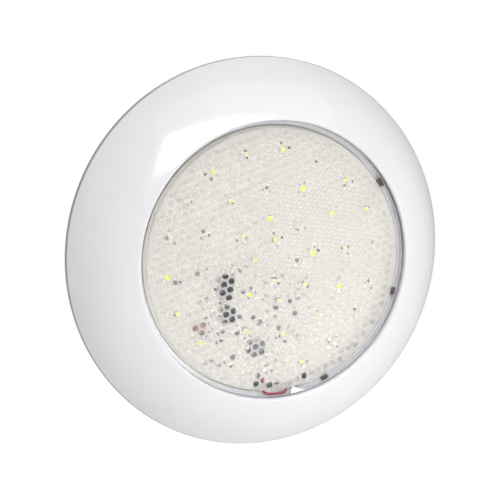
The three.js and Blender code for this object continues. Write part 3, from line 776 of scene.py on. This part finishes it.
def board_clips():
    """Small clips in the clear band, whose tongues hold the board's edge down."""
    for index, angle in enumerate(CLIP_ANGLES):
        bm = bmesh.new()
        start = angle - CLIP_HALF_ANGLE
        end = angle + CLIP_HALF_ANGLE
        post = sector_outline(CLIP_INNER, SKIRT_INNER - 0.3, start, end, 0.8)
        prism(bm, post, BOARD_FRONT, BOARD_FRONT + 2.6)
        bevelled(bm, 0.3)
        tongue = sector_outline(CLIP_INNER - 3, CLIP_INNER + 0.3, start + 0.1, end - 0.1, 0.75)
        prism(bm, tongue, BOARD_FRONT + 0.3, BOARD_FRONT + 1.1)
        piece = as_object(f"clip_{index + 1}", bm)
        finished(piece, "lamp", [f"board_clip_{index + 1}"], [BROWN])


def smooth_route(points, per_span=10):
    """A centripetal Catmull-Rom curve through the points."""
    route = []
    padded = [points[0] * 2 - points[1]] + points + [points[-1] * 2 - points[-2]]
    for index in range(1, len(padded) - 2):
        p0, p1, p2, p3 = padded[index - 1:index + 3]
        t1 = math.sqrt((p1 - p0).length)
        t2 = t1 + math.sqrt((p2 - p1).length)
        t3 = t2 + math.sqrt((p3 - p2).length)
        for step in range(per_span):
            t = t1 + (t2 - t1) * step / per_span
            a1 = p0 * ((t1 - t) / t1) + p1 * (t / t1)
            a2 = p1 * ((t2 - t) / (t2 - t1)) + p2 * ((t - t1) / (t2 - t1))
            a3 = p2 * ((t3 - t) / (t3 - t2)) + p3 * ((t - t2) / (t3 - t2))
            b1 = a1 * ((t2 - t) / t2) + a2 * (t / t2)
            b2 = a2 * ((t3 - t) / (t3 - t1)) + a3 * ((t - t1) / (t3 - t1))
            route.append(b1 * ((t2 - t) / (t2 - t1)) + b2 * ((t - t1) / (t2 - t1)))
    route.append(points[-1])
    return route


def lead(name, start_x, notch_x, over_the_edge, material):
    """An insulated lead from the gland through the board's notch to its solder pad."""
    points = [
        (start_x, 0, 20.1), (start_x, -5, LEAD_LEVEL), (start_x, -25, LEAD_LEVEL),
        ((start_x + notch_x) / 2, -60, LEAD_LEVEL), (notch_x, -88, LEAD_LEVEL),
        (notch_x, -92.6, BOARD_BACK), *over_the_edge,
    ]
    route = smooth_route([Vector(p) for p in points])
    sides = 14
    bm = bmesh.new()
    rings = []
    normal = Vector((1, 0, 0))
    for index, point in enumerate(route):
        ahead = route[min(index + 1, len(route) - 1)] - route[max(index - 1, 0)]
        ahead.normalize()
        normal = (normal - ahead * normal.dot(ahead)).normalized()
        side = ahead.cross(normal)
        rings.append([
            bm.verts.new(point + LEAD_RADIUS * (normal * math.cos(2 * math.pi * k / sides)
                                                + side * math.sin(2 * math.pi * k / sides)))
            for k in range(sides)])
    for first, second in zip(rings, rings[1:]):
        band(bm, first, second)
    bm.faces.new(rings[0][::-1])
    bm.faces.new(rings[-1])
    end = points[-1]
    blob = turn(bm, [(0, BOARD_FRONT + 0.05), (1.7, BOARD_FRONT + 0.05), (1.2, BOARD_FRONT + 0.9),
                     (0.5, BOARD_FRONT + 1.4), (0, BOARD_FRONT + 1.5)], 20)
    bmesh.ops.translate(bm, verts=blob, vec=(end[0], end[1] + 0.9, 0))
    paint(blob, 1)
    piece = as_object(f"{name}_wire", bm)
    return finished(piece, "lamp", [name], [material, SOLDER], sharp_angle=60)


def leads():
    """The three leads whose ends show at the board's lower edge."""
    lead("lead_green", -2.4, -7.4, [(-7.6, -95, 31), (-7.4, -93.4, 32), (-7, -86, 31.4)],
         GREEN)
    lead("lead_red", 2.4, 12.6, [
        (13.8, -94.2, 30.9), (13.4, -96.6, 31.8), (9.6, -98, 31.5), (3, -98.3, 31.4),
        (-2.8, -96.8, 31.6), (-4.6, -92, 31.8), (-4.8, -86.5, 31.4)], RED)
    lead("lead_black", 0, 7, [
        (8.4, -93.4, 31.2), (13, -92.4, 32.8), (18, -93.4, 32.4), (23, -92.4, 31.8),
        (27, -89.4, 31.6), (28, -84.6, 31.4)], BLACK)


# Bracket and housing.

def ring_object(name, profile, soften=0.4, steps=ROUND_STEPS):
    """A turned ring with softened corners, still to be finished."""
    bm = bmesh.new()
    turn(bm, softened(profile, soften), steps)
    return as_object(name, bm)


def prisms_object(name, outlines, back, front, bevel=0.0):
    """Several separate prisms as one drawing."""
    bm = bmesh.new()
    for outline in outlines:
        prism(bm, outline, back, front)
    if bevel:
        bevelled(bm, bevel)
    return as_object(name, bm)


def turned_outline(outline, degrees):
    """An outline turned about the axis."""
    turn_by = Matrix.Rotation(math.radians(degrees), 2)
    return [tuple(turn_by @ Vector(point)) for point in outline]


def slot_outlines(margin):
    """The four screw slots, or with a margin their raised pads."""
    width = SLOT_WIDTH + 2 * margin
    outline = rounded_outline(SLOT_LENGTH + 2 * margin, width, width / 2 - 0.02, 8)
    raised = [(x, y + SLOT_RADIUS) for x, y in outline]
    return [turned_outline(raised, 90 * quarter) for quarter in range(4)]


def bracket_plate():
    """The plate on the wall, with its screw slots on raised pads."""
    plate = ring_object("bracket_plate", tube_profile(
        BRACKET_HOLE_RADIUS, BRACKET_RADIUS, 0, BRACKET_PLATE))
    pads = prisms_object("pads", slot_outlines(3.75), 1, BRACKET_PLATE + 0.8, 0.25)
    combine(plate, pads, "UNION")
    combine(plate, prisms_object("slots", slot_outlines(0), -1, 6), "DIFFERENCE")
    return finished(plate, "bracket", ["wall_bracket"], [WHITE])


def bracket_collar():
    """The upright wall on the plate's rim, with three bayonet noses and their stops."""
    collar = ring_object("collar", tube_profile(
        BRACKET_RADIUS - 3, BRACKET_RADIUS, COLLAR_BACK, COLLAR_FRONT))
    noses = [sector_outline(NOSE_INNER, BRACKET_RADIUS - 1.5, a - 10, a + 10) for a in BAYONET_ANGLES]
    combine(collar, prisms_object("noses", noses, NOSE_BACK, COLLAR_FRONT, 0.25), "UNION")
    stops = [sector_outline(NOSE_INNER, BRACKET_RADIUS - 1.5, a - 12.9, a - 9.4) for a in BAYONET_ANGLES]
    combine(collar, prisms_object("stops", stops, COLLAR_BACK, COLLAR_FRONT, 0.25), "UNION")
    return finished(collar, "bracket", ["bracket_collar"], [WHITE])


def twist_ring():
    """The ring behind the housing whose lugs turn in behind the bracket's noses."""
    ring = ring_object("twist_collar", tube_profile(70, 73, LUG_BACK, TWIST_FRONT))
    lugs = [sector_outline(71, 79, a - 9, a + 9) for a in BAYONET_ANGLES]
    combine(ring, prisms_object("lugs", lugs, LUG_BACK, LUG_BACK + 2.7, 0.3), "UNION")
    return finished(ring, "lamp", ["twist_ring"], [WHITE])


def ear_outline(angle):
    """The outline of an ear that a surround screw goes through."""
    arc = [(EAR_RADIUS + x, y) for x, y in (polar(7, -90 + 10 * k) for k in range(19))]
    return turned_outline([(HOUSING_RADIUS - 2, 7), (HOUSING_RADIUS - 2, -7)] + arc, angle)


def laid_down(bm, vertices):
    """Lays an upright drawing down so that its far end points to the bottom of the light."""
    bmesh.ops.rotate(bm, verts=vertices, matrix=Matrix.Rotation(math.pi / 2, 3, "X"))
    bmesh.ops.translate(bm, verts=vertices, vec=(0, 0, LOCK_SCREW_LEVEL))


def rear_cover():
    """The flat cover with the surround's ears, the lock boss and the gland's hole."""
    front = HOUSING_BACK + HOUSING_WALL
    cover = ring_object("cover", tube_profile(8.2, HOUSING_RADIUS, HOUSING_BACK, front))
    ears = [ear_outline(angle) for angle in EAR_ANGLES]
    combine(cover, prisms_object("ears", ears, HOUSING_BACK, front, 0.3), "UNION")
    boss = prisms_object("boss", [box_outline(-6, 6, -HOUSING_RADIUS + 0.3, -90)], 0.9, 13, 0.5)
    combine(cover, boss, "UNION")
    holes = bmesh.new()
    for angle in EAR_ANGLES:
        cylinder(holes, 2, HOUSING_BACK - 1, front + 1, polar(EAR_RADIUS, angle))
    laid_down(holes, cylinder(holes, 1.8, 88, 104))
    combine(cover, as_object("cover_holes", holes), "DIFFERENCE")
    return finished(cover, "lamp", ["rear_cover"], [WHITE])


def housing_ring():
    """The ring that holds the board, the seal and the lens, with six clamp bosses."""
    ring = ring_object("housing", [
        (99, RING_BACK), (HOUSING_RADIUS, RING_BACK), (HOUSING_RADIUS, FLANGE_BACK),
        (FLANGE_RADIUS, FLANGE_BACK), (FLANGE_RADIUS, FLANGE_FRONT), (106.3, FLANGE_FRONT),
        (106.3, 28), (103.1, 28), (103.1, FLANGE_FRONT), (96.6, FLANGE_FRONT), (96.6, 28.1),
        (90, 28.1), (90, 25.6), (99, 25.6),
    ], 0.3)
    bosses = bmesh.new()
    holes = bmesh.new()
    for angle in CLAMP_SCREW_ANGLES:
        cylinder(bosses, 2.2, FLANGE_BACK + 1, 32.5, polar(CLAMP_SCREW_RADIUS, angle))
        cylinder(holes, 1.6, FLANGE_BACK + 0.8, 33.5, polar(CLAMP_SCREW_RADIUS, angle))
    combine(ring, as_object("bosses", bosses), "UNION")
    prism(holes, box_outline(*NOTCH, -95.6, -88), 24.6, 28.4)
    combine(ring, as_object("ring_holes", holes), "DIFFERENCE")
    return finished(ring, "lamp", ["housing_ring"], [WHITE])


def lens_seal():
    """The seal under the lens flange, with a lip at its front."""
    inner = SEAL_RADIUS - SEAL_WIDTH
    ring = ring_object("seal", [
        (inner, SEAL_BACK), (SEAL_RADIUS, SEAL_BACK), (SEAL_RADIUS, SEAL_FRONT - 0.4),
        (SEAL_RADIUS - 0.8, SEAL_FRONT - 0.1), (SEAL_RADIUS - SEAL_WIDTH / 2, SEAL_FRONT),
        (inner + 0.8, SEAL_FRONT - 0.1), (inner, SEAL_FRONT - 0.4),
    ], 0.25)
    return finished(ring, "lamp", ["lens_seal"], [SILICONE])


def clamp_ring():
    """The ring that clamps the lens, with six countersinks."""
    ring = ring_object("clamp_band", tube_profile(103, CLAMP_RADIUS, CLAMP_BACK, CLAMP_FRONT), 0.25)
    cuts = bmesh.new()
    for angle in CLAMP_SCREW_ANGLES:
        made = turn(cuts, [(0, CLAMP_BACK - 1), (1.7, CLAMP_BACK - 1), (1.7, CLAMP_BACK + 0.1),
                           (2.85, CLAMP_FRONT), (2.85, CLAMP_FRONT + 1), (0, CLAMP_FRONT + 1)],
                    SMALL_STEPS)
        bmesh.ops.translate(cuts, verts=made, vec=(*polar(CLAMP_SCREW_RADIUS, angle), 0))
    combine(ring, as_object("countersinks", cuts), "DIFFERENCE")
    return finished(ring, "lamp", ["lens_clamp_ring"], [WHITE])


# Screws and gland.

def threaded(radius, start, end, pitch, thread_depth):
    """Points along a thread's flanks, from start to end."""
    count = round(abs(end - start) / pitch)
    points = []
    for index in range(count):
        here = start + (end - start) * index / count
        half_way = start + (end - start) * (index + 0.5) / count
        points += [(radius - thread_depth, here), (radius, half_way)]
    return points + [(radius - thread_depth, end)]


def cross_outline(arm, half_width):
    """The outline of a cross recess."""
    quarter = [(arm, -half_width), (arm, half_width), (half_width, half_width)]
    points = []
    for k in range(4):
        points += turned_outline(quarter, 90 * k)
    return points


def screw_object(name, profile, recess_arm, recess_back, recess_front):
    """A screw turned about its axis, with a cross recess in its head."""
    bm = bmesh.new()
    turn(bm, profile, SMALL_STEPS)
    screw = as_object(name, bm)
    recess = prisms_object("recess", [cross_outline(recess_arm, 0.33)], recess_back, recess_front)
    combine(screw, recess, "DIFFERENCE")
    return screw


def clamp_screws():
    """Six countersunk screws through the clamp ring."""
    profile = [(0, 26.7)] + threaded(1.25, 26.7, 32.2, 0.5, 0.2) + [
        (1.25, CLAMP_FRONT - 1.1), (2.35, CLAMP_FRONT - 0.1), (2.3, CLAMP_FRONT), (0, CLAMP_FRONT)]
    for index, angle in enumerate(CLAMP_SCREW_ANGLES):
        name = f"clamp_screw_{index + 1}"
        screw = screw_object(f"lens_screw_{index + 1}", profile, 1.4, CLAMP_FRONT - 0.6, CLAMP_FRONT + 1)
        screw.data.transform(Matrix.Translation((*polar(CLAMP_SCREW_RADIUS, angle), 0)))
        finished(screw, "lamp", [name], [STEEL])


def surround_screws():
    """Four pan-head screws from behind through the ears into the surround."""
    head_back = HOUSING_BACK - 2.1
    profile = [(0, head_back), (1.7, head_back), (2.4, head_back + 0.2), (3, head_back + 0.8),
               (3, HOUSING_BACK - 0.35), (2.9, HOUSING_BACK - 0.3), (1.3, HOUSING_BACK - 0.3)]
    profile += threaded(1.3, 14, 21, 0.8, 0.25) + [(0, 21.8)]
    for index, angle in enumerate(EAR_ANGLES):
        name = f"surround_screw_{index + 1}"
        screw = screw_object(f"ear_screw_{index + 1}", profile, 1.6, head_back - 1, head_back + 0.9)
        screw.data.transform(Matrix.Translation((*polar(EAR_RADIUS, angle), 0)))
        finished(screw, "lamp", [name], [STEEL])


def lock_screw():
    """The screw that stops the lamp from turning back, with its captive washer."""
    tip = BRACKET_RADIUS + 0.4
    profile = [(0, tip), (0.9, tip), (1.2, tip + 0.5)] + threaded(1.5, tip + 0.8, 103.4, 0.5, 0.22)
    profile += [(1.45, 103.6), (1.45, 106), (2.2, 106), (2.3, 106.1), (2.3, 108.3),
                (1.9, 108.75), (1.5, 108.8), (0, 108.8)]
    screw = screw_object("lock_bolt", profile, 1.2, 107.7, 110)
    lying = Matrix.Translation((0, 0, LOCK_SCREW_LEVEL)) @ Matrix.Rotation(math.pi / 2, 4, "X")
    screw.data.transform(lying)
    finished(screw, "lock_turn", ["lock_screw"], [STEEL])
    washer = ring_object("lock_disc", tube_profile(1.8, 3, 104.6, 105.7), 0.15, SMALL_STEPS)
    washer.data.transform(lying)
    finished(washer, "lock_slide", ["lock_washer"], [STEEL])


def hexagon_object(name, across_corners, back, front):
    """A hexagonal block whose corners are turned off at both ends."""
    outline = [polar(across_corners, 60 * k - 90) for k in range(6)]
    block = prisms_object(name, [outline], back, front, 0.25)
    chamfer = bmesh.new()
    turn(chamfer, [(0, back), (across_corners * 0.9, back), (across_corners, back + 0.7),
                   (across_corners, front - 0.7), (across_corners * 0.9, front), (0, front)], 96)
    combine(block, as_object("chamfer", chamfer), "INTERSECT")
    return block


def gland():
    """The cable gland: body, lock nut, O-ring, grommet, washer and the nut that squeezes them."""
    body = hexagon_object("gland_fitting", 11.5, 7.3, 10.2)
    stem = bmesh.new()
    turn(stem, [(0, 4.5)] + threaded(8.3, 4.5, 7, 0.8, 0.4) + [(7.8, 7.5), (7.8, 14.8)]
         + threaded(7.8, 15.2, 19.2, 0.8, 0.4) + [(7.2, 19.5), (0, 19.5)], 96)
    combine(body, as_object("stem", stem), "UNION")
    bore = bmesh.new()
    turn(bore, [(0, 3), (6.2, 3), (6.2, 9.8), (GLAND_BORE_RADIUS, 9.8), (GLAND_BORE_RADIUS, 21),
                (0, 21)], 64)
    combine(body, as_object("bore", bore), "DIFFERENCE")
    finished(body, "lamp", ["gland_body"], [NYLON])

    locknut = hexagon_object("gland_back_nut", 12, 15.3, 18.3)
    hole = bmesh.new()
    cylinder(hole, 8.1, 14, 20, steps=64)
    combine(locknut, as_object("hole", hole), "DIFFERENCE")
    finished(locknut, "lamp", ["gland_locknut"], [NYLON])

    nut = hexagon_object("gland_front_nut", 11.5, 2.9, 7)
    hollow = bmesh.new()
    turn(hollow, [(0, 1), (4.2, 1), (4.2, 4.1), (8.6, 4.1), (8.6, 8), (0, 8)], 64)
    combine(nut, as_object("hollow", hollow), "DIFFERENCE")
    finished(nut, "gland_cap", ["gland_nut"], [NYLON])

    o_ring = ring_object("gland_ring", tube_profile(8.6, 10.6, 10.5, 11.7), 0.55, 96)
    finished(o_ring, "lamp", ["gland_o_ring"], [RUBBER])
    grommet = ring_object("gland_sleeve", tube_profile(4.1, 5.9, 5.7, 9.5), 0.4, 64)
    finished(grommet, "lamp", ["gland_grommet"], [RUBBER])
    washer = ring_object("gland_disc", tube_profile(4.2, 5.9, 4.4, 5.4), 0.15, 64)
    finished(washer, "gland_clamp", ["gland_washer"], [NYLON])


# Camera, floor and light.

CAMERA_DISTANCE = 0.743
AIM = Vector((0, -0.02, 0))
FLOOR_LEVEL = -0.55


def camera():
    """Looks from the left of the light and a little above, 0.74 m away, slightly rolled."""
    back = Vector((-0.3312, -0.9334, 0.1382)).normalized()
    right = Vector((0.9437, -0.3276, 0.0485))
    right = (right - back * right.dot(back)).normalized()
    up = back.cross(right)
    rim_centre = Vector((0, -(SURROUND_BACK + RIM_HEIGHT / 2) * MM, 0))
    data = bpy.data.cameras.new("camera")
    data.lens = 72
    data.sensor_width = 36
    made = bpy.data.objects.new("camera", data)
    place = rim_centre + back * CAMERA_DISTANCE - right * 0.00825 + up * 0.0032
    turned_to = Matrix((right, up, back)).transposed().to_4x4()
    made.matrix_world = Matrix.Translation(place) @ turned_to
    bpy.context.scene.collection.objects.link(made)
    bpy.context.scene.camera = made


def area_light(name, place, size, power):
    """A soft rectangular light that faces the pool light."""
    data = bpy.data.lights.new(name, "AREA")
    data.shape = "RECTANGLE"
    data.size, data.size_y = size
    data.energy = power
    made = bpy.data.objects.new(name, data)
    made.location = place
    made.rotation_euler = (AIM - Vector(place)).to_track_quat("-Z", "Y").to_euler()
    bpy.context.scene.collection.objects.link(made)


def studio_floor():
    """A plain floor that is white to the camera and a dim grey to the light."""
    floor = bmesh.new()
    bmesh.ops.create_grid(floor, x_segments=1, y_segments=1, size=8)
    mesh = bpy.data.meshes.new("floor")
    floor.to_mesh(mesh)
    floor.free()
    ground = bpy.data.objects.new("floor", mesh)
    ground.location.z = FLOOR_LEVEL
    material, shader, output = new_material("floor_paint")
    shader.inputs["Base Color"].default_value = (0.6, 0.6, 0.6, 1)
    shader.inputs["Roughness"].default_value = 0.9
    shader.inputs["Emission Color"].default_value = (1, 1, 1, 1)
    shader.inputs["Emission Strength"].default_value = 0.2
    tree = material.node_tree
    white = tree.nodes.new("ShaderNodeEmission")
    mixed = by_ray(tree, "Is Camera Ray", shader.outputs["BSDF"], white.outputs["Emission"])
    tree.links.new(mixed, output.inputs["Surface"])
    mesh.materials.append(material)
    bpy.context.scene.collection.objects.link(ground)


def studio_air():
    """An even pale glow all round, plain white where the camera sees past the light."""
    world = bpy.data.worlds.new("studio")
    world.use_nodes = True
    tree = world.node_tree
    glow = tree.nodes["Background"]
    glow.inputs["Color"].default_value = (0.985, 0.98, 1.0, 1)
    glow.inputs["Strength"].default_value = 0.36
    plain = tree.nodes.new("ShaderNodeBackground")
    plain.inputs["Color"].default_value = (1, 1, 1, 1)
    mixed = by_ray(tree, "Is Camera Ray", glow.outputs["Background"], plain.outputs["Background"])
    tree.links.new(mixed, tree.nodes["World Output"].inputs["Surface"])
    bpy.context.scene.world = world
    bpy.context.scene.view_settings.view_transform = "Standard"


def studio():
    """The floor, the glow and four soft lamps."""
    studio_floor()
    studio_air()
    area_light("key", (0.05, -1.0, 1.5), (2.6, 1.6), 9)
    area_light("front", (-0.35, -1.6, 1.25), (1.7, 0.9), 22)
    area_light("low", (0.45, -0.6, -0.5), (0.35, 0.2), 3.2)
    area_light("back", (0.3, 1.4, 1.1), (1.2, 0.8), 12)


camera()
studio()
surround()
lens()
board()
led_string("outer", 79, 18, 288.5)
led_string("middle", 55, 12, 249.5)
led_string("inner", 30, 8, 235)
led_string("centre", 15, 4, 0)
driver_parts()
board_clips()
leads()
bracket_plate()
bracket_collar()
twist_ring()
rear_cover()
housing_ring()
lens_seal()
clamp_ring()
clamp_screws()
surround_screws()
lock_screw()
gland()
